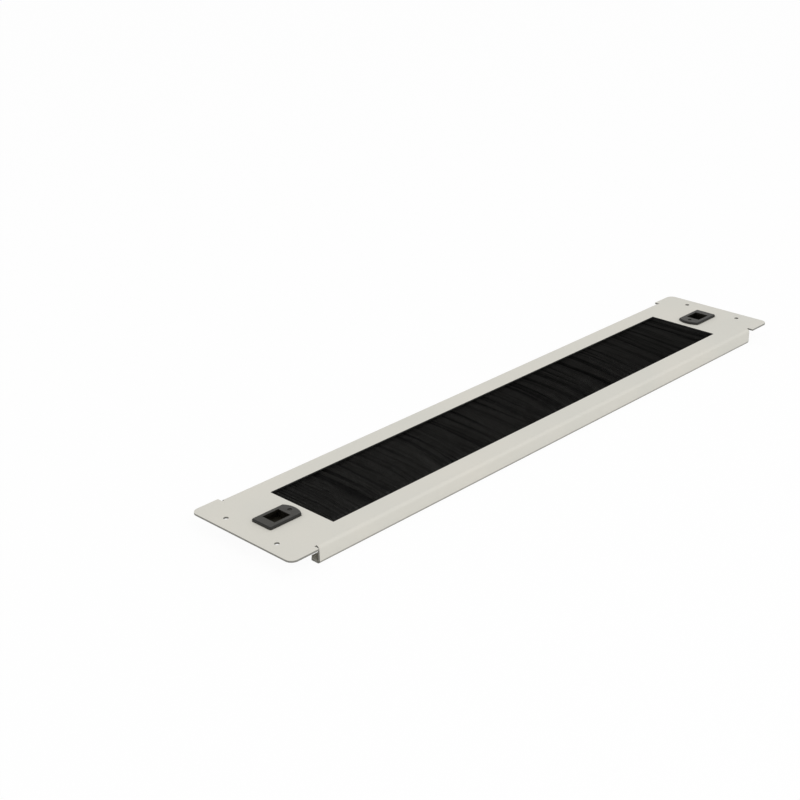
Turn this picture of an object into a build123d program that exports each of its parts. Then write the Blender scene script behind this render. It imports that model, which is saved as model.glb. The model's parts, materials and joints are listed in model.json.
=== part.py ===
"""Two-unit rack panel with a brush strip: a folded sheet, a brush in a holder, and two slide latches.

Frame: X along the panel, Y across it (up when it is fixed in a rack), Z out of the front face.
The origin is the centre of the four ear holes, in the plane of the ears' rear faces.
All sizes are in millimetres.
"""
import os
from math import cos, sin

from build123d import *

# Sheet
panel_length = 482.6
panel_height = 88.1
sheet = 1.2
ear_length = 22.3
ear_corner_radius = 5.0
hole_inset = 8.75
hole_spacing_y = 44.45
hole_radius = 1.6

# Folded body between the ears
body_inset = 1.8
flange_depth = 11.4
lip_width = 9.5
bend_radius = 0.8
lip_bevel = 2.5
relief_width = 1.6
relief_clearance = 0.2

# Brush opening in the face, by the face's width left at its ends and sides
opening_end_margin = 24.9
opening_side_margin = 14.85
opening_corner = 0.5

# Brush holder under the upper lip
holder_overlap = 4.9
holder_fit = 0.1
slot_height = 4.0
slot_depth = 5.0
slot_offset = 3.0

# Bristles
tuft_pitch = 3.4
tuft_gap = 0.25
root_inset = 1.0
root_margin = 1.0
mid_height = -7.0
mid_drop = 0.9
mid_thickness = 5.4
mid_splay = 0.6
tip_thickness = 7.4
tip_clearance = 1.6
tip_splay = 12.5
length_scatter = 1.3
scatter_fast = 2.4
scatter_slow = 0.7

# Screws that hold the brush holder to the lip
screw_count = 4
screw_spacing = 110.0
screw_from_wall = 4.1
head_radius = 2.8
shank_radius = 1.4
screw_length = 4.8
screw_gap = 0.1
recess_width = 0.8
recess_span = 2.8
recess_depth = 0.9

# Latch bezel on the front, with a finger window
bezel_length = 26.8
bezel_width = 16.8
bezel_thickness = 1.8
bezel_overhang = 6.2
bezel_corner = 1.2
bezel_bow = 3.0
bezel_edge = 0.6
window_length = 12.2
window_width = 10.8
window_margin = 5.9
dimple_radius = 1.5
dimple_depth = 0.5
dimple_inset = 4.6

# Latch housing behind the face
housing_width = 15.6
housing_wall = 1.2
housing_corner = 1.4
cutout_fit = 0.15
rail_height = 2.6
cap_length = 6.6
cap_height = 7.2
guide_lip = 2.9
strap_width = 4.4
strap_height = 0.5
foot_length = 1.2
foot_height = 1.8
barb_length = 3.0
barb_reach = 0.6
barb_height = 1.4
barb_inset = 1.5
seat_gap = 0.1

# Sliding bolt
latch_travel = 4.2
travel_gap = 0.4
slide_fit = 0.3
grip_wall = 1.0
tongue_front = 2.0
nose_reach = 10.0
nose_overlap = 1.0
nose_back = 7.4
nose_lift = 0.4
ramp_run = 4.2
ramp_drop = 3.6
claw_length = 3.6
claw_step = 1.1

# Spring in the bolt
spring_radius = 1.05
spring_wire = 0.36
spring_sides = 4
spring_turns = 6
bore_gap = 0.1
bore_end = 2.0
spring_seat = 0.1

# Sizes that follow, for the sheet and the brush
body_length = panel_length - 2 * ear_length
body_height = panel_height - 2 * body_inset
opening_length = body_length - 2 * opening_end_margin
opening_height = body_height - 2 * opening_side_margin
holder_length = opening_length + 2 * holder_overlap
hole_spacing_x = panel_length - 2 * hole_inset
face_back = 0.0
face_front = face_back + sheet
lip_back = face_front - flange_depth
lip_front = lip_back + sheet
wall_inner = body_height / 2 - sheet
lip_edge = body_height / 2 - lip_width
body_end = body_length / 2
ear_start = body_end + relief_width
slot_middle = face_back - holder_fit - slot_offset
root_low = lip_edge + holder_fit
root_high = root_low + slot_depth - holder_fit

# Sizes that follow, for the right-hand latch
bezel_outer = body_end + bezel_overhang
bezel_inner = bezel_outer - bezel_length
bezel_front = face_front + bezel_thickness
window_outer = bezel_outer - window_margin
window_inner = window_outer - window_length
grip_inner = window_inner - grip_wall
cavity_end = grip_inner - latch_travel - travel_gap
housing_inner = cavity_end - housing_wall
housing_outer = window_outer + housing_wall
housing_half = housing_width / 2
cavity_half = housing_half - housing_wall
cavity_back = cap_height - housing_wall
cap_outer = housing_inner + cap_length
nose_inner = window_outer - nose_overlap
nose_tip = body_end + nose_reach
nose_front = rail_height + nose_lift
guide_end = nose_inner - latch_travel - travel_gap
guide_half = cavity_half - guide_lip + housing_wall
tongue_back = cavity_back - slide_fit
spring_middle = -(tongue_front + tongue_back) / 2
bore_radius = spring_radius + spring_wire / 2 + bore_gap
bore_bottom = nose_inner - bore_end


def block(x_low, x_high, y_low, y_high, z_low, z_high):
    """A box between two corners."""
    size = (x_high - x_low, y_high - y_low, z_high - z_low)
    centre = ((x_low + x_high) / 2, (y_low + y_high) / 2, (z_low + z_high) / 2)
    return Pos(*centre) * Box(*size)


def save(name, shape):
    """Write one piece, named as its file."""
    shape.label = name
    export_step(shape, f"parts/{name}.step")
    return shape


def folded_body():
    """The C-section with both flanges and inward lips, along the body's length."""
    middle = (face_front + lip_back) / 2
    outer = RectangleRounded(body_height, flange_depth, bend_radius + sheet)
    inner = RectangleRounded(body_height - 2 * sheet, flange_depth - 2 * sheet, bend_radius)
    mouth = Pos(0, (sheet - flange_depth) / 2) * Rectangle(2 * lip_edge, 2 * sheet)
    section = Plane.YZ * Pos(0, middle) * (outer - inner - mouth)
    body = extrude(section, body_length / 2, both=True)
    bevel = lip_bevel * 2 ** 0.5
    for side in (-1, 1):
        for end in (-1, 1):
            corner = Pos(end * body_end, side * lip_edge, lip_back)
            body -= corner * Rot(0, 0, 45) * Box(bevel, bevel, 4 * sheet)
    return body


def panel_sheet():
    """One folded steel sheet: face, ears, flanges, brush opening, latch cut-outs and ear holes."""
    outline = RectangleRounded(panel_length, panel_height, ear_corner_radius)
    plate = Pos(0, 0, face_back) * extrude(outline, sheet)
    ears = plate - block(-ear_start, ear_start, -panel_height, panel_height, -sheet, 2 * sheet)
    neck_half = body_height / 2 - bend_radius - sheet - relief_clearance
    neck_end = ear_start + sheet
    neck = block(-neck_end, neck_end, -neck_half, neck_half, face_back, face_front)
    panel = folded_body() + neck + ears
    opening = RectangleRounded(opening_length, opening_height, opening_corner)
    panel -= Pos(0, 0, face_back - sheet) * extrude(opening, 3 * sheet)
    cut = extrude(housing_outline(cutout_fit), 2 * sheet, both=True)
    panel -= cut
    panel -= mirror(cut, Plane.YZ)
    for x in (-hole_spacing_x / 2, hole_spacing_x / 2):
        for y in (-hole_spacing_y / 2, hole_spacing_y / 2):
            panel -= Pos(x, y, sheet / 2) * Cylinder(hole_radius, 4 * sheet)
    for number in range(screw_count):
        panel -= screw_place(number) * screw_profile(screw_gap)
    return panel


def screw_place(number):
    """The centre of a screw's head face, on the rear of the upper lip."""
    x = (number - (screw_count - 1) / 2) * screw_spacing
    return Pos(x, wall_inner - screw_from_wall, lip_back)


def screw_profile(gap):
    """A countersunk screw about +Z from its flush head, grown by a gap all round."""
    head = head_radius + gap
    shank = shank_radius + gap
    cone = head - shank
    end = screw_length + gap
    outline = Polyline((0, 0), (head, 0), (shank, cone), (shank, end), (0, end), close=True)
    return revolve(Plane.XZ * make_face(outline), Axis.Z)


def brush_screw():
    """A countersunk screw with a cross recess."""
    screw = screw_profile(0)
    for turn in (0, 90):
        screw -= Rot(0, 0, turn) * Box(recess_span, recess_width, 2 * recess_depth)
    return screw


def brush_holder():
    """A moulded bar in the upper channel, with a slot along it that grips the bristles."""
    half = holder_length / 2
    bar = block(-half, half, root_low, wall_inner - holder_fit, lip_front + holder_fit, face_back - holder_fit)
    bar = chamfer(bar.edges().filter_by(Axis.X).group_by(Axis.Y)[-1], bend_radius)
    slot_front = slot_middle + slot_height / 2
    bar -= block(-half - 1, half + 1, root_low - 1, root_low + slot_depth, slot_front - slot_height, slot_front)
    for number in range(screw_count):
        bar -= screw_place(number) * screw_profile(screw_gap)
    return bar


def tuft_outline(number, count, half):
    """Front view of one tuft, in X and Y: straight at its root, then splayed towards its tip."""
    share = (number + 0.5) / count * 2 - 1
    bend = share ** 3
    root_x = share * half
    mid_x = root_x + mid_splay * bend
    tip_x = root_x + tip_splay * bend
    scatter = length_scatter * (1 + sin(scatter_fast * number) * cos(scatter_slow * number))
    tip_y = tip_clearance + scatter - wall_inner
    side = half / count - tuft_gap / 2
    return make_face(Polyline(
        (root_x - side, root_high),
        (mid_x - side, mid_height),
        (tip_x - side, tip_y),
        (tip_x + side, tip_y),
        (mid_x + side, mid_height),
        (root_x + side, root_high),
        close=True,
    ))


def brush_section():
    """Side view of the whole brush, in Y and Z: thin where the holder grips it, thick at its tips."""
    root_half = slot_height / 2 - holder_fit
    mid_half = mid_thickness / 2
    tip_half = tip_thickness / 2
    mid_middle = slot_middle - mid_drop
    tip_middle = (face_back + lip_front) / 2
    tip_low = tip_clearance - wall_inner
    return make_face(Polyline(
        (root_high, slot_middle - root_half),
        (root_low, slot_middle - root_half),
        (mid_height, mid_middle - mid_half),
        (tip_low, tip_middle - tip_half),
        (tip_low, tip_middle + tip_half),
        (mid_height, mid_middle + mid_half),
        (root_low, slot_middle + root_half),
        (root_high, slot_middle + root_half),
        close=True,
    ))


def bristles():
    """A row of tufts on one root bar: the brush's side view, cut by the front views of its tufts."""
    half = holder_length / 2 - root_margin
    count = 2 * round(half / tuft_pitch)
    body = extrude(Plane.YZ * brush_section(), half + tip_splay, both=True)
    tufts = Sketch() + [tuft_outline(number, count, half) for number in range(count)]
    bar = Rectangle(2 * half, root_high - root_low - root_inset)
    plan = tufts + Pos(0, (root_high + root_low + root_inset) / 2) * bar
    return body & extrude(plan, flange_depth, both=True)


def bezel_outline():
    """A rectangle with rounded corners and a bowed inner end."""
    half = bezel_width / 2
    straight = bezel_inner + bezel_bow
    top = Line((straight, half), (bezel_outer, half))
    outer = Line(top @ 1, (bezel_outer, -half))
    bottom = Line(outer @ 1, (straight, -half))
    bow = ThreePointArc(bottom @ 1, (bezel_inner, 0), (straight, half))
    face = make_face([top, outer, bottom, bow])
    return fillet(face.vertices(), bezel_corner)


def housing_outline(grow):
    """The housing's plan where it goes through the sheet, with its inner corners cut off."""
    inner = housing_inner - grow
    outer = housing_outer + grow
    half = housing_half + grow
    return make_face(Polyline(
        (inner, half - housing_corner),
        (inner + housing_corner, half),
        (outer, half),
        (outer, -half),
        (inner + housing_corner, -half),
        (inner, housing_corner - half),
        close=True,
    ))


def housing_barb():
    """A snap wedge on the housing's side, which holds behind the sheet."""
    front = face_back - seat_gap
    profile = Polyline(
        (housing_half - barb_reach, front),
        (housing_half + barb_reach, front),
        (housing_half, front - barb_height),
        (housing_half - barb_reach, front - barb_height),
        close=True,
    )
    start = Plane(origin=(housing_outer - barb_inset - barb_length, 0, 0), x_dir=(0, 1, 0), z_dir=(1, 0, 0))
    return extrude(start * make_face(profile), barb_length)


def latch_housing():
    """Bezel, guide channel and spring cap, moulded in one piece; the right-hand latch."""
    bezel = Pos(0, 0, face_front) * extrude(bezel_outline(), bezel_thickness)
    bezel = chamfer(bezel.faces().sort_by(Axis.Z)[-1].outer_wire().edges(), bezel_edge)
    plan = housing_outline(0)
    shell = Pos(0, 0, -rail_height) * extrude(plan, rail_height + face_front)
    deep = Pos(0, 0, -cap_height) * extrude(plan, cap_height)
    shell += deep & block(housing_inner, guide_end, -housing_half, housing_half, -cap_height, 0)
    shell -= block(cavity_end, window_outer, -cavity_half, cavity_half, -cavity_back, face_front)
    shell -= block(cap_outer, guide_end, -guide_half, guide_half, -cap_height, 0)
    shell -= block(guide_end, housing_outer, -cavity_half, cavity_half, -cap_height, slide_fit - tongue_front)
    foot = block(housing_inner - foot_length, cavity_end, -housing_half + housing_corner,
                 housing_half - housing_corner, -foot_height, face_back - seat_gap)
    strap = block(housing_inner, cap_outer, -strap_width / 2, strap_width / 2, -cap_height - strap_height, -cap_height)
    barb = housing_barb()
    body = bezel + shell + foot + strap + barb + mirror(barb, Plane.XZ)
    body -= block(window_inner, window_outer, -window_width / 2, window_width / 2, face_back, bezel_front + 1)
    return body - Pos(bezel_inner + dimple_inset, 0, bezel_front) * Cylinder(dimple_radius, 2 * dimple_depth)


def nose_section():
    """Side view of the hook, in X and Z: ramp towards the rack, claw behind the rail's edge."""
    claw_inner = nose_tip - claw_length
    return make_face(Polyline(
        (nose_inner, -nose_front - claw_step),
        (claw_inner, -nose_front - claw_step),
        (claw_inner, -nose_front),
        (nose_tip, -nose_front),
        (nose_tip, -nose_back + ramp_drop),
        (nose_tip - ramp_run, -nose_back),
        (nose_inner, -nose_back),
        close=True,
    ))


def latch_bolt():
    """The sliding bolt: hook, tongue with the spring's bore, and the wall that a finger pulls."""
    hook = extrude(Plane.XZ * nose_section(), housing_half, both=True)
    tongue_half = cavity_half - slide_fit
    tongue = block(grip_inner, housing_outer, -tongue_half, tongue_half, -tongue_back, -tongue_front)
    grip_half = window_width / 2
    grip = block(grip_inner, window_inner, -grip_half, grip_half, -tongue_back, face_front - slide_fit)
    pad_inner = cap_outer + latch_travel + travel_gap
    pad_half = guide_half - slide_fit
    pad = block(pad_inner, nose_inner, -pad_half, pad_half, -nose_back, -tongue_back)
    bolt = hook + tongue + grip + pad
    bore_length = bore_bottom - grip_inner
    bore = Pos(grip_inner + bore_length / 2, 0, spring_middle) * Rot(0, 90, 0)
    return bolt - bore * Cylinder(bore_radius, bore_length)


def latch_spring():
    """A compression spring from the cap's end wall to the bottom of the bolt's bore."""
    low = cavity_end + spring_seat + spring_wire / 2
    high = bore_bottom - spring_seat - spring_wire / 2
    path = Helix(pitch=(high - low) / spring_turns, height=high - low, radius=spring_radius)
    section = Plane(origin=path @ 0, z_dir=path % 0) * RegularPolygon(spring_wire / 2, spring_sides)
    coil = sweep(section, path=path)
    return Pos(low, 0, spring_middle) * Rot(0, 90, 0) * coil


def main():
    os.makedirs("parts", exist_ok=True)
    pieces = [
        save("panel_sheet", panel_sheet()),
        save("brush_holder", brush_holder()),
        save("bristles", bristles()),
    ]
    for number in range(screw_count):
        pieces.append(save(f"brush_screw_{number + 1}", screw_place(number) * brush_screw()))
    for name, shape in (("housing", latch_housing()), ("bolt", latch_bolt()), ("spring", latch_spring())):
        pieces.append(save(f"latch_{name}_right", shape))
        pieces.append(save(f"latch_{name}_left", mirror(shape, Plane.YZ)))
    return pieces


if __name__ == "__main__":
    main()
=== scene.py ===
# %% [markdown]
# A two-unit rack panel with a brush strip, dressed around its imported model.
# The panel is one folded sheet with a warm grey powder coat. A black brush fills its long opening, and a
# dark moulded latch sits at each end. The model already holds every rigid piece at its real size, so this
# script gives those pieces their finish, grows the brush fibre by fibre, winds the springs of the latches,
# and sets up the light and camera.

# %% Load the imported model
import json
from math import pi, radians

import bpy
from mathutils import Matrix, Vector


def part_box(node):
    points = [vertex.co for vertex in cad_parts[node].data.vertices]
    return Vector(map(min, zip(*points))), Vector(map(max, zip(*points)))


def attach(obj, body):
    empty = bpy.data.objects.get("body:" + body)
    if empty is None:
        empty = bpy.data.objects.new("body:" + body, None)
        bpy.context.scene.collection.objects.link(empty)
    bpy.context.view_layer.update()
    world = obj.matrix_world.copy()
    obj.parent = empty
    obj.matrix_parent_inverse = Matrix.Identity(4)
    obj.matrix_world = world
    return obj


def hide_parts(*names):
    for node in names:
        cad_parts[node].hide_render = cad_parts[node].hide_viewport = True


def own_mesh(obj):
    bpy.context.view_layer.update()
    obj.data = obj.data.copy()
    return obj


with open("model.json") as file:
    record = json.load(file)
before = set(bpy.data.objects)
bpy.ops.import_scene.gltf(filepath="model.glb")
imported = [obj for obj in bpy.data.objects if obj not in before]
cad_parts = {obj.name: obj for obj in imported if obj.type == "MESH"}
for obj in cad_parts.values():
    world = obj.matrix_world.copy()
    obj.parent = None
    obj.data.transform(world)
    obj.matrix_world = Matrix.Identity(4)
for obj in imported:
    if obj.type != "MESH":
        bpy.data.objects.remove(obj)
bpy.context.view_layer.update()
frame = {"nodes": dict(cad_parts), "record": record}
mm = 0.001

# %% [markdown]
# Most places come from the model's own boxes. The sheet's box gives the panel's size and the plane that it
# rests on, and the bristles' box says where the brush ends. A few places inside a piece have no box of their
# own. They were fitted, and are written here in millimetres.

# %% Read the sizes that the dressing needs
sheet_low, sheet_high = (Vector(corner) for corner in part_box("panel_sheet"))
brush_low, brush_high = (Vector(corner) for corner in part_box("bristles"))
holder_low, holder_high = (Vector(corner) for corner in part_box("brush_holder"))
floor_height = sheet_low.z
face_height = sheet_high.z
flange_end = 218.9
flange_bend = 40.2
lower_bend = 2.2
opening_reach = (195, 28)
window_centre = 213.2
window_reach = (6.8, 6.9)
well_heights = (-4.0, 2.95)
panel_size = [round(side / mm, 1) for side in sheet_high - sheet_low]
print("panel", panel_size, "mm, floor at", round(floor_height / mm, 1))

# %% [markdown]
# Shader maths reads best as plain arithmetic. A Wire stands for one socket of a node tree, and adding or
# multiplying wires adds the Math nodes. The same helper builds the geometry trees of the brush and of the
# springs, because both kinds of tree take the same Math node.


# %% Node trees written as arithmetic
class Wire:
    """One output socket, with the arithmetic that the finishes use."""

    def __init__(self, tree, socket):
        self.tree = tree
        self.socket = socket

    def math(self, operation, first, second=0.0):
        return self.tree.node("ShaderNodeMath", {"operation": operation}, {0: first, 1: second})

    def __add__(self, other):
        return self.math("ADD", self, other)

    def __radd__(self, other):
        return self.math("ADD", other, self)

    def __sub__(self, other):
        return self.math("SUBTRACT", self, other)

    def __rsub__(self, other):
        return self.math("SUBTRACT", other, self)

    def __mul__(self, other):
        return self.math("MULTIPLY", self, other)

    def __rmul__(self, other):
        return self.math("MULTIPLY", other, self)

    def __truediv__(self, other):
        return self.math("DIVIDE", self, other)

    def __rtruediv__(self, other):
        return self.math("DIVIDE", other, self)

    def __gt__(self, other):
        return self.math("GREATER_THAN", self, other)

    def __lt__(self, other):
        return self.math("LESS_THAN", self, other)

    def __pow__(self, other):
        return self.math("POWER", self, other)

    def __abs__(self):
        return self.math("ABSOLUTE", self)

    def lowest(self, other):
        return self.math("MINIMUM", self, other)

    def highest(self, other):
        return self.math("MAXIMUM", self, other)


class Tree:
    """A node tree under construction."""

    def __init__(self, tree):
        self.tree = tree

    def node(self, kind, settings=None, inputs=None, output=0):
        """Adds a node: its settings first, then the values or wires of its sockets."""
        made = self.tree.nodes.new(kind)
        for name, value in (settings or {}).items():
            if name == "stops":
                elements = made.color_ramp.elements
                while len(elements) < len(value):
                    elements.new(0.5)
                for element, (place, colour) in zip(elements, value):
                    element.position = place
                    element.color = colour
            else:
                setattr(made, name, value)
        for name, value in (inputs or {}).items():
            if isinstance(value, Wire):
                self.tree.links.new(value.socket, made.inputs[name])
            else:
                made.inputs[name].default_value = value
        return Wire(self, made.outputs[output]) if len(made.outputs) else None

    def split(self, vector):
        """The three parts of a vector."""
        return [self.node("ShaderNodeSeparateXYZ", None, {0: vector}, output=name) for name in "XYZ"]

    def join(self, x, y, z):
        """A vector from its three parts."""
        return self.node("ShaderNodeCombineXYZ", None, {"X": x, "Y": y, "Z": z})

    def ramp(self, factor, start, end):
        """Rises from 0 to 1 as the factor goes from start to end."""
        stops = [(start, (0.0, 0.0, 0.0, 1.0)), (end, (1.0, 1.0, 1.0, 1.0))]
        return self.node("ShaderNodeValToRGB", {"stops": stops}, {"Fac": factor})

    def mix_colours(self, factor, first, second):
        """A colour between two, by a factor from 0 to 1."""
        return self.node("ShaderNodeMix", {"data_type": "RGBA"}, {0: factor, 6: first, 7: second}, output=2)

    def mix_values(self, factor, first, second):
        """A number between two, by a factor from 0 to 1."""
        return first + (second - first) * factor

    def seen(self):
        """1 for a ray that shows the background: from the camera, off a gloss or through glass."""
        rays = [self.node("ShaderNodeLightPath", output=name)
                for name in ("Is Camera Ray", "Is Glossy Ray", "Is Transmission Ray")]
        return (rays[0] + rays[1] + rays[2]).lowest(1.0)


# %% [markdown]
# Every finish starts from the Principled shader. Numbers that are the same all over are set on its own
# sockets, and only what varies over the surface is linked. Patterns are laid in Object coordinates in
# millimetres, so a grain of half a millimetre is written as such.


# %% A finish and its patterns
class Finish(Tree):
    """A material with one Principled shader."""

    def __init__(self, name, roughness, specular=0.5, metallic=0.0):
        self.material = bpy.data.materials.new(name)
        self.material.use_nodes = True
        super().__init__(self.material.node_tree)
        self.shader = self.tree.nodes["Principled BSDF"]
        self.shader.inputs["Roughness"].default_value = roughness
        self.shader.inputs["Specular IOR Level"].default_value = specular
        self.shader.inputs["Metallic"].default_value = metallic
        self.place = self.node("ShaderNodeTexCoord", output="Object")

    def link(self, name, wire):
        self.tree.links.new(wire.socket, self.shader.inputs[name])

    def where(self):
        """The surface point's three coordinates, in millimetres."""
        return [part * (1 / mm) for part in self.split(self.place)]

    def steepness(self):
        """0 on a flat face and 1 on an upright one."""
        return 1 - abs(self.split(self.node("ShaderNodeNewGeometry", output="Normal"))[2])

    def grain(self, size, detail=2.0, stretch=(1, 1, 1)):
        """Noise whose features are about one size wide, in millimetres, drawn out by a stretch."""
        scale = tuple(1 / (size * mm * factor) for factor in stretch)
        place = self.node("ShaderNodeMapping", None, {"Vector": self.place, "Scale": scale})
        return self.node("ShaderNodeTexNoise", None, {"Vector": place, "Scale": 1.0, "Detail": detail})

    def bump(self, height, strength, distance):
        """Relief that feeds the shader's normal, with its distance in millimetres."""
        normal = self.node("ShaderNodeBump", None,
                           {"Height": height, "Strength": strength, "Distance": distance * mm})
        self.link("Normal", normal)


def grey(level, warmth=0.0):
    """A linear colour of one level, a little red and short of blue where it is warm."""
    return (level * (1 + warmth), level, level * (1 - 3 * warmth), 1.0)


# %% [markdown]
# Powder coat is melted plastic powder: matt to satin, with a fine orange-peel relief and no directional
# grain. On this panel it is a light warm grey. The upright cut faces of the ears and the holes are drawn
# darker than the faces. The rim of the brush opening is painted nearly black as painted shade, and the outer
# side of the lower bend, where the panel meets the floor, is drawn darker as a painted contact shadow. The
# masks find these places by their position and direction.


# %% Powder coat for the sheet
coat_light = (0.655, 0.634, 0.572, 1.0)
coat_dark = (0.630, 0.618, 0.562, 1.0)
speck_colour = (0.42, 0.41, 0.37, 1.0)
speck_strength = 0.05
cut_colour = (0.17, 0.165, 0.15, 1.0)
# The next colour is painted shade, for the rim of the brush opening.
rim_shade_colour = grey(0.015)
# The next colour is a painted contact shadow, for the outer side of the lower bend.
contact_shade_colour = (0.20, 0.195, 0.17, 1.0)
contact_shade_fade = 1.2
edge_darkening = (0.75, 0.95)
upright = 0.5


def powder_coat():
    coat = Finish("powder_coat", roughness=0.55, specular=0.28)
    x, y, z = coat.where()
    clouds = coat.ramp(coat.grain(70, 2.0), 0.35, 0.65)
    colour = coat.mix_colours(clouds, coat_light, coat_dark)
    speck = coat.ramp(coat.grain(0.45, 1.0), 0.60, 0.75)
    colour = coat.mix_colours(speck * speck_strength, colour, speck_colour)
    steep = coat.steepness() > upright
    # The upright cut faces of the sheet are drawn darker than the faces.
    cut = steep * (abs(y) < flange_bend).highest(abs(x) > flange_end)
    colour = coat.mix_colours(cut * coat.mix_values(coat.grain(1.5), *edge_darkening), colour, cut_colour)
    # Painted shade: the cut rim of the brush opening is drawn nearly black.
    rim_shade = steep * (abs(x) < opening_reach[0]) * (abs(y) < opening_reach[1])
    colour = coat.mix_colours(rim_shade, colour, rim_shade_colour)
    # Painted contact shadow: the lower bend near the floor is drawn darker.
    near_floor = ((floor_height / mm + lower_bend - z) * contact_shade_fade).highest(0.0).lowest(1.0)
    contact_shade = (abs(y) > flange_bend) * near_floor
    colour = coat.mix_colours(contact_shade * coat.mix_values(coat.grain(2.5), *edge_darkening), colour, contact_shade_colour)
    coat.link("Base Color", colour)
    coat.link("Roughness", coat.mix_values(coat.grain(3.0), 0.53, 0.66))
    coat.bump(coat.grain(0.9, 2.0) * 0.7 + coat.grain(0.25, 1.0) * 0.3, 0.35, 0.05)
    return coat.material


# %% [markdown]
# The latches are moulded in glass-filled nylon. The housing is dark anthracite with a fine spark-eroded
# texture, and its sliding bolt is black. The bezel's edge and its low sides are drawn darker than its face,
# as painted shade. The finger well is painted black as shade, and its gloss is taken away with it: a metal's
# gloss has the metal's colour, so there the plastic is shaded as a nearly black metal. The brush holder is a
# plainer black extrusion, and the four screws are blackened steel. Each finish is one small function.


# %% Plastics and metals
bezel_side_shade_colour = grey(0.019, 0.05)
bezel_edge_shade_colour = grey(0.009, 0.05)
bezel_edge_tilt = 0.12
well_shade_colour = grey(0.04, 0.08)


def well(finish):
    """1 inside the finger well of either latch, and 0 elsewhere."""
    x, y, z = finish.where()
    middle = (abs(abs(x) - window_centre) < window_reach[0]) * (abs(y) < window_reach[1])
    return middle * (z > well_heights[0]) * (z < well_heights[1])


def link_with_well_shade(finish, colour):
    """Gives a plastic its colour, and paints the finger well's shade: there the plastic turns to a nearly
    black metal.
    """
    # Painted shade: inside the finger well the plastic is drawn nearly black and without gloss.
    finish.link("Base Color", finish.mix_colours(well(finish), colour, well_shade_colour))
    finish.link("Metallic", well(finish))


def latch_plastic():
    plastic = Finish("latch_plastic", roughness=0.5, specular=0.3)
    colour = plastic.mix_colours(plastic.grain(2.5, 3.0), grey(0.023, 0.06), grey(0.031, 0.06))
    front = plastic.where()[2] > face_height / mm
    steep = plastic.steepness()
    # Painted shade: the bezel's low sides are drawn darker than its face.
    colour = plastic.mix_colours(front * (steep > upright), colour, bezel_side_shade_colour)
    # Painted shade: the bezel's sloping edge is drawn darker still.
    edge = front * (steep > bezel_edge_tilt) * (steep < upright)
    link_with_well_shade(plastic, plastic.mix_colours(edge, colour, bezel_edge_shade_colour))
    plastic.link("Roughness", plastic.mix_values(plastic.grain(1.2), 0.42, 0.58))
    plastic.bump(plastic.grain(0.22, 2.0), 0.5, 0.03)
    return plastic.material


def bolt_black():
    black = Finish("bolt_black", roughness=0.6, specular=0.2)
    link_with_well_shade(black, black.mix_colours(black.grain(2.0, 3.0), grey(0.020), grey(0.030)))
    black.bump(black.grain(0.25, 2.0), 0.4, 0.03)
    return black.material


def holder_black():
    black = Finish("holder_black", roughness=0.55, specular=0.35)
    black.link("Base Color", black.mix_colours(black.grain(4.0), grey(0.012), grey(0.020)))
    black.bump(black.grain(0.6, 1.0, stretch=(30, 1, 1)), 0.4, 0.03)
    return black.material


def screw_black():
    oxide = Finish("screw_black", roughness=0.4, specular=0.5, metallic=0.6)
    oxide.link("Base Color", oxide.mix_colours(oxide.grain(0.8), grey(0.015), grey(0.030)))
    oxide.link("Roughness", oxide.mix_values(oxide.grain(0.5), 0.32, 0.5))
    oxide.bump(oxide.grain(0.15), 0.3, 0.02)
    return oxide.material


def spring_steel():
    steel = Finish("spring_steel", roughness=0.3, metallic=1.0)
    steel.link("Base Color", steel.mix_colours(steel.grain(0.5), grey(0.42), grey(0.55)))
    steel.link("Roughness", steel.mix_values(steel.grain(0.4), 0.25, 0.4))
    return steel.material


# %% Give the rigid pieces their finish
makers = (powder_coat, latch_plastic, bolt_black, holder_black, screw_black, spring_steel)
finishes = {maker.__name__: maker() for maker in makers}
for subpart in frame["record"]["subparts"]:
    finish = finishes.get(subpart["material_slot"])
    if finish:
        for slot in frame["nodes"][subpart["node"]].material_slots:
            slot.material = finish
print("finishes", sorted(finishes))

# %% [markdown]
# A strip brush is thousands of nylon fibres folded over a core and clamped in the holder. They start in one
# plane and fan out towards their tips, and past the ends of the holder. One fibre is a thin three-sided rod.
# Geometry Nodes set copies of it along the holder, and each copy gets its own lean, length and depth in the
# brush from random values with a fixed seed. Fibres also stick together in tufts, so a slow noise moves
# neighbours together, which gives the brush its soft waves. The brush is grown in rows, one behind the other,
# each a piece of its own, because a piece stays under 200,000 triangles. The lift of the tufts and the
# fibres' own radius take them up to half a millimetre past the model's solid, in front and behind.


# %% Sizes of the brush
fibres_per_row = 5200
row_count = 4
fibre_radius = 0.15 * mm
fibre_rings = 6
root_height = holder_low.y + 1.0 * mm
root_half = holder_high.x - 1.2 * mm
root_thickness = 3.4 * mm
root_middle = -3.1 * mm
tip_height = brush_low.y
tip_thickness = 6.0 * mm
bulge = 1.4 * mm
front_limit = -0.4 * mm
tip_middle = (brush_low.z + brush_high.z) / 2
tip_splay = brush_high.x - root_half - 0.8 * mm
splay_power = 5.0
end_room = 0.4 * mm
tip_scatter = 2.4 * mm
lean = 3.6 * mm
tuft_width = 3.2
tuft_sway = 7.0 * mm
tuft_lift = 1.8 * mm
sweep = 9.0 * mm
wide_sway = 2.0
fine_sway = 0.6
sweep_change = 4.0
sweep_slant = 0.8
sweep_shared = 1.2
own_place = 0.25
ring_shift = 0.1
bulge_rise = 30
first_seed = 11
seed_step = 12


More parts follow.
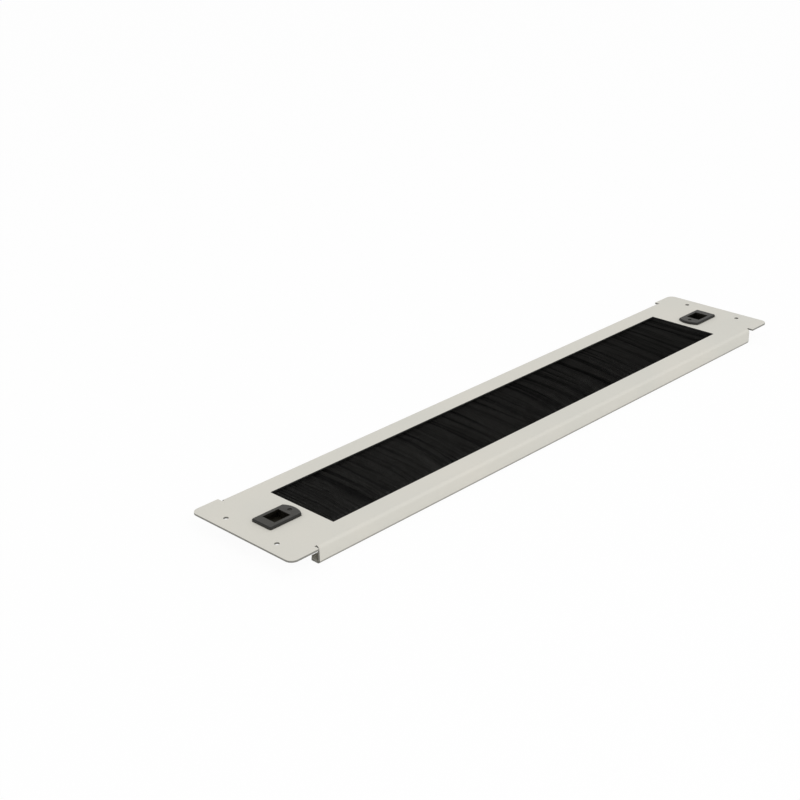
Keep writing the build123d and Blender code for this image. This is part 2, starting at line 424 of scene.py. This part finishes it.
# %% Helpers for geometry trees
def start_tree(name, inputs):
    """A geometry tree with named inputs: its builder, and the wires that bring the inputs' values."""
    group = bpy.data.node_groups.new(name, "GeometryNodeTree")
    group.interface.new_socket(name="Geometry", in_out="INPUT", socket_type="NodeSocketGeometry")
    for socket, kind in inputs.items():
        group.interface.new_socket(name=socket, in_out="INPUT", socket_type=f"NodeSocket{kind}")
    group.interface.new_socket(name="Geometry", in_out="OUTPUT", socket_type="NodeSocketGeometry")
    tree = Tree(group)
    start = group.nodes.new("NodeGroupInput")
    return tree, {socket.name: Wire(tree, socket) for socket in start.outputs if socket.name}


def end_tree(tree, geometry, finish):
    """Gives the geometry its material and sends it out of the tree, whose group it returns."""
    finished = tree.node("GeometryNodeSetMaterial", None, {"Geometry": geometry, "Material": finish})
    group = tree.tree
    end = group.nodes.new("NodeGroupOutput")
    group.links.new(finished.socket, end.inputs[0])
    return group


def random_value(tree, low, high, seed):
    """A number for each fibre, always the same from run to run."""
    return tree.node("FunctionNodeRandomValue", {"data_type": "FLOAT"},
                     {2: low, 3: high, "Seed": seed}, output=1)


def store(tree, geometry, name, value):
    return tree.node("GeometryNodeStoreNamedAttribute", {"data_type": "FLOAT", "domain": "POINT"},
                     {"Geometry": geometry, "Name": name, "Value": value})


def stored(tree, name):
    return tree.node("GeometryNodeInputNamedAttribute", {"data_type": "FLOAT"}, {"Name": name})


def slow_noise(tree, across, along, offset):
    """Noise from about -0.5 to 0.5 that changes from tuft to tuft, and slowly along the fibres."""
    place = tree.join(across, along, offset)
    return tree.node("ShaderNodeTexNoise", None, {"Vector": place, "Scale": 1.0, "Detail": 2.0}) - 0.5


# %% [markdown]
# The tree has two parts. The first stores the random numbers on points and sets one rod on each of them.
# The second, once the rods are real geometry, bends them: the height along the rod, from 0 at the root to 1
# at the tip, says how far it has fanned out. The rings of a rod lie closer together near its two ends.


# %% The upright rods of one row
def upright_rods(tree, given):
    """One rod for each fibre, on points that carry its random numbers."""
    seed = given["Seed"]
    points = tree.node("GeometryNodeMeshLine", None, {"Count": given["Count"], "Offset": (0.0, 0.0, 0.0)})
    number = tree.node("GeometryNodeInputIndex") + 0.5 + random_value(tree, -0.5, 0.5, seed)
    for name, value in (
        ("share", number * 2.0 / given["Count"] - 1.0),
        ("depth", random_value(tree, given["Low"], given["High"], seed + 1)),
        ("lean", random_value(tree, -1.0, 1.0, seed + 2)),
        ("cut", random_value(tree, 0.0, 1.0, seed + 3)),
        ("tone", random_value(tree, 0.0, 1.0, seed + 4)),
    ):
        points = store(tree, points, name, value)

    rod = tree.node("GeometryNodeMeshCone", {"fill_type": "NGON"},
                    {"Vertices": 3, "Side Segments": fibre_rings, "Radius Top": given["Radius"] * 0.8,
                     "Radius Bottom": given["Radius"], "Depth": 1.0})
    rods = tree.node("GeometryNodeInstanceOnPoints", None, {"Points": points, "Instance": rod})
    return tree.node("GeometryNodeRealizeInstances", None, {"Geometry": rods})


# %% The line that a fibre bends to
def bent_line(tree, height, tuft, share, depth, own_lean, cut):
    """A fibre's middle at each height, once it fans out, sways with its tuft and sweeps to one side."""
    sway = slow_noise(tree, tuft * 0.3, height * 1.4, depth) * tuft_sway * wide_sway
    sway = sway + slow_noise(tree, tuft, height * 2.0, 9.0) * tuft_sway * fine_sway
    lift = slow_noise(tree, tuft * 0.8, height * 1.6, 21.0) * tuft_lift
    inner = 1 - share ** 8
    fan = abs(height) ** splay_power
    reach = root_half + end_room + fan * tip_splay
    x = share * root_half + share ** 3 * fan * tip_splay + own_lean * lean * height
    swept = slow_noise(tree, tuft * 0.12, depth * 0.3, 71.0) * sweep_change
    swept = swept + share * sweep_slant + sweep_shared
    x = x + inner * (sway * height - height * height * sweep * swept)
    x = x.lowest(reach).highest(reach * -1.0)
    y = root_height - height * ((root_height - tip_height) - cut * tip_scatter)
    thick = root_thickness + (tip_thickness - root_thickness) * height
    thick = thick + (height * bulge_rise).lowest(1.0) * bulge
    z = root_middle + (tip_middle - root_middle) * height + depth * thick * 0.5 + lift * height
    return x, y, z.lowest(front_limit)


# %% [markdown]
# Some tufts catch the light and others lie in the shade of their neighbours, so each fibre gets a tone for
# the shader, mostly shared by its tuft. A field is worked out on the geometry that it is stored on. The rods
# are bent by then, and the height read from their position is nearly 0 all along. So a fibre keeps one tone
# from root to tip. To let it change along the fibre, the height would be stored before the bend.

# %% How light a fibre looks
broad_streaks = 3.4
narrow_streaks = 3.6
even_light = 0.8
glint_strength = 9.0
least_light = 0.1


def streak_tone(tree, height, tuft, own_lean, tone):
    """From 0 to 1: the painted light and shade of the tufts, with painted glints on a few single hairs that
    stand out from their tuft.
    """
    broad = slow_noise(tree, tuft * 0.5, height * 5.0, 33.0) * broad_streaks
    narrow = slow_noise(tree, tuft * 1.3, height * 8.0 + tuft * 0.5, 55.0) * narrow_streaks
    even = abs(1 - height) ** 6.0 * even_light
    # Painted highlights: a few hairs are drawn lighter in short glints.
    glint = slow_noise(tree, tuft * 2.0, height * 9.0, own_lean * 9.0).highest(0.0)
    glinting_hairs = tone ** 5.0 * glint * glint_strength
    return (broad + narrow + even + glinting_hairs + least_light).lowest(1.0).highest(0.0)


# %% The tree that grows one row of fibres
def fibre_tree(finish):
    inputs = {"Count": "Int", "Seed": "Int", "Radius": "Float", "Low": "Float", "High": "Float"}
    tree, given = start_tree("brush_fibres", inputs)
    rods = upright_rods(tree, given)
    side, across, along = tree.split(tree.node("GeometryNodeInputPosition"))
    height = along - along.math("SINE", along * (2 * pi)) * ring_shift
    names = ("share", "depth", "lean", "cut", "tone")
    share, depth, own_lean, cut, tone = (stored(tree, name) for name in names)
    tuft = share * (root_half / mm / tuft_width) + own_lean * own_place
    x, y, z = bent_line(tree, height, tuft, share, depth, own_lean, cut)
    place = tree.join(x + side, y, z + across)
    bent = tree.node("GeometryNodeSetPosition", None, {"Geometry": rods, "Position": place})
    toned = store(tree, bent, "tone", streak_tone(tree, height, tuft, own_lean, tone))
    return end_tree(tree, toned, finish)


# %% [markdown]
# Nylon fibres are near black, with a soft gloss. The tone stored with each fibre sets its colour and gloss:
# lit tufts and glinting hairs are painted lighter and shaded tufts darker, so these faint painted streaks of
# light and shade follow the fibres wherever they bend.


# %% Nylon fibres
def bristle_black():
    nylon = Finish("bristle_black", roughness=0.45, specular=0.2)
    tone = nylon.node("ShaderNodeAttribute", {"attribute_name": "tone"}, output="Fac")
    # Painted light and shade: the lighter colour is for lit tufts and glints, the near black for shaded ones.
    nylon.link("Base Color", nylon.mix_colours(tone ** 2.0, grey(0.001), grey(0.034, 0.02)))
    nylon.link("Roughness", nylon.mix_values(tone, 0.65, 0.38))
    return nylon.material


# %% Grow the brush
def plain_mesh(name, tree, values, place=None):
    """Runs a geometry tree with these values, and keeps its result as a plain mesh, moved to its place."""
    piece = bpy.data.objects.new(name, bpy.data.meshes.new(name))
    bpy.context.scene.collection.objects.link(piece)
    modifier = piece.modifiers.new("tree", "NODES")
    modifier.node_group = tree
    for item in tree.interface.items_tree:
        if item.in_out == "INPUT" and item.name in values:
            modifier[item.identifier] = values[item.name]
    graph = bpy.context.evaluated_depsgraph_get()
    mesh = bpy.data.meshes.new_from_object(piece.evaluated_get(graph))
    piece.modifiers.clear()
    piece.data = mesh
    if place:
        mesh.transform(place)
        if place.is_negative:
            mesh.flip_normals()
    print(name, "has", sum(len(face.vertices) - 2 for face in mesh.polygons), "triangles")
    return piece


def grow_row(name, tree, low, high, seed):
    """One row of fibres between two depths of the brush."""
    values = {"Count": fibres_per_row, "Seed": seed, "Radius": fibre_radius, "Low": low, "High": high}
    row = plain_mesh(name, tree, values)
    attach(row, "panel")
    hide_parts("bristles")


fibres = fibre_tree(bristle_black())
for row in range(row_count):
    low, high = (2 * (row + step) / row_count - 1 for step in (0, 1))
    grow_row(f"fibres_{row + 1}", fibres, low, high, first_seed + seed_step * row)

# %% [markdown]
# A compression spring pushes each latch bolt outwards. It is wound from round wire, and its end turns lie
# closer together, so it stands flat on its seats. The spiral primitive gives the turns at an even pitch, and
# moving its points along the axis closes the ends.

# %% Sizes of a latch spring
spring_turns = 6
wire_radius = 0.18 * mm
end_closing = 0.75
steps_per_turn = 28
wire_sides = 8


# %% The tree that winds a spring
def spring_tree(finish):
    inputs = dict.fromkeys(("Turns", "Length", "Radius", "Wire"), "Float")
    tree, given = start_tree("latch_spring", inputs)
    coil = tree.node("GeometryNodeCurveSpiral", None,
                     {"Resolution": steps_per_turn, "Rotations": given["Turns"], "Height": given["Length"],
                      "Start Radius": given["Radius"], "End Radius": given["Radius"]})
    across, up, along = tree.split(tree.node("GeometryNodeInputPosition"))
    turn = along / given["Length"] * (2 * pi)
    closed = along - turn.math("SINE", turn) * given["Length"] * (end_closing / (2 * pi))
    place = tree.join(closed, across, up)
    coil = tree.node("GeometryNodeSetPosition", None, {"Geometry": coil, "Position": place})
    wire = tree.node("GeometryNodeCurvePrimitiveCircle", None,
                     {"Resolution": wire_sides, "Radius": given["Wire"]})
    mesh = tree.node("GeometryNodeCurveToMesh", None,
                     {"Curve": coil, "Profile Curve": wire, "Fill Caps": True})
    mesh = tree.node("GeometryNodeRealizeInstances", None, {"Geometry": mesh})
    return end_tree(tree, mesh, finish)


# %% Wind the two springs
winding = spring_tree(finishes["spring_steel"])
for side, direction in (("left", -1), ("right", 1)):
    low, high = (Vector(corner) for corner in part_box(f"latch_spring_{side}"))
    seat = Vector((low.x if side == "right" else high.x, (low.y + high.y) / 2, (low.z + high.z) / 2))
    length = high.x - low.x - 2 * wire_radius
    radius = (high.y - low.y) / 2 - wire_radius
    values = {"Turns": spring_turns, "Length": length, "Radius": radius, "Wire": wire_radius}
    start = Matrix.Translation(seat + Vector((direction * wire_radius, 0, 0)))
    spring = plain_mesh(f"coil_{side}", winding, values, start @ Matrix.Diagonal((direction, 1, 1, 1)))
    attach(spring, "panel")
    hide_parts(f"latch_spring_{side}")
    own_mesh(spring)
    print(spring.name, "length", round((high.x - low.x) / mm, 2), "mm")

# %% [markdown]
# The photograph has a white ground with hardly a shadow. The floor is a plain matt sheet; rays from the
# camera see it mostly as white, with a little of its real shading kept, so the panel still sits on it.


# %% Floor and world
floor_half = 6.0
floor_grey = grey(0.88)
floor_whitening = 0.95
white = (1.0, 1.0, 1.0, 1.0)


def floor_finish():
    floor = Finish("floor", roughness=0.9, specular=0.0)
    floor.shader.inputs["Base Color"].default_value = floor_grey
    glow = floor.node("ShaderNodeEmission", None, {"Color": white, "Strength": 1.0})
    plain = Wire(floor, floor.shader.outputs[0])
    mixed = floor.node("ShaderNodeMixShader", None, {0: floor.seen() * floor_whitening, 1: plain, 2: glow})
    floor.tree.links.new(mixed.socket, floor.tree.nodes["Material Output"].inputs["Surface"])
    return floor.material


floor_mesh = bpy.data.meshes.new("floor")
corners = [(x * floor_half, y * floor_half, floor_height) for x, y in ((-1, -1), (1, -1), (1, 1), (-1, 1))]
floor_mesh.from_pydata(corners, [], [(0, 1, 2, 3)])
floor_mesh.materials.append(floor_finish())
floor = bpy.data.objects.new("floor", floor_mesh)
bpy.context.scene.collection.objects.link(floor)

room_level = 0.78
world = bpy.data.worlds.new("studio")
world.use_nodes = True
bpy.context.scene.world = world
sky = Tree(world.node_tree)
background = world.node_tree.nodes["Background"]
background.inputs["Color"].default_value = white
strength = sky.mix_values(sky.seen(), room_level, 1.0)
world.node_tree.links.new(strength.socket, background.inputs["Strength"])
print("room level", room_level)

# %% [markdown]
# The light is that of a catalogue picture: a bright, even room and one large soft lamp. The lamp stands on
# the panel's near side, about as high as it is far away, so the flange's wall is nearly as light as the face.


# %% Lamp
def soft_lamp(name, place, target, size, power):
    lamp = bpy.data.lights.new(name, "AREA")
    lamp.shape = "DISK"
    lamp.size = size
    lamp.energy = power
    holder = bpy.data.objects.new(name, lamp)
    bpy.context.scene.collection.objects.link(holder)
    holder.location = place
    holder.rotation_euler = (Vector(target) - Vector(place)).to_track_quat("-Z", "Y").to_euler()
    return holder


key = soft_lamp("key_lamp", place=(-0.3, -1.45, 1.7), target=(0, 0, 0), size=1.4, power=15.0)
print("lamp", key.data.energy, "W")

# %% [markdown]
# The camera was found by matching the panel's straight edges to the photograph: its place, what it looks at,
# a small roll, and its lens. The picture is square, and nothing is shifted.

# %% Camera
camera_place = Vector((-696.10, -583.30, 410.52)) * mm
camera_target = Vector((-46.87, 62.88, 1.57)) * mm
camera_roll = radians(-1.411)
camera_lens = 66.77
sensor = 36.0

camera_data = bpy.data.cameras.new("photo_camera")
camera_data.lens = camera_lens
camera_data.sensor_width = sensor
camera_data.clip_start = 0.01
camera = bpy.data.objects.new("photo_camera", camera_data)
bpy.context.scene.collection.objects.link(camera)
camera.location = camera_place
aim = (camera_target - camera_place).to_track_quat("-Z", "Y")
camera.rotation_euler = (aim.to_matrix() @ Matrix.Rotation(camera_roll, 3, "Z")).to_euler()
bpy.context.scene.camera = camera
bpy.context.scene.view_settings.view_transform = "Standard"
print("camera at", [round(value, 4) for value in camera.location], "lens", camera_lens)
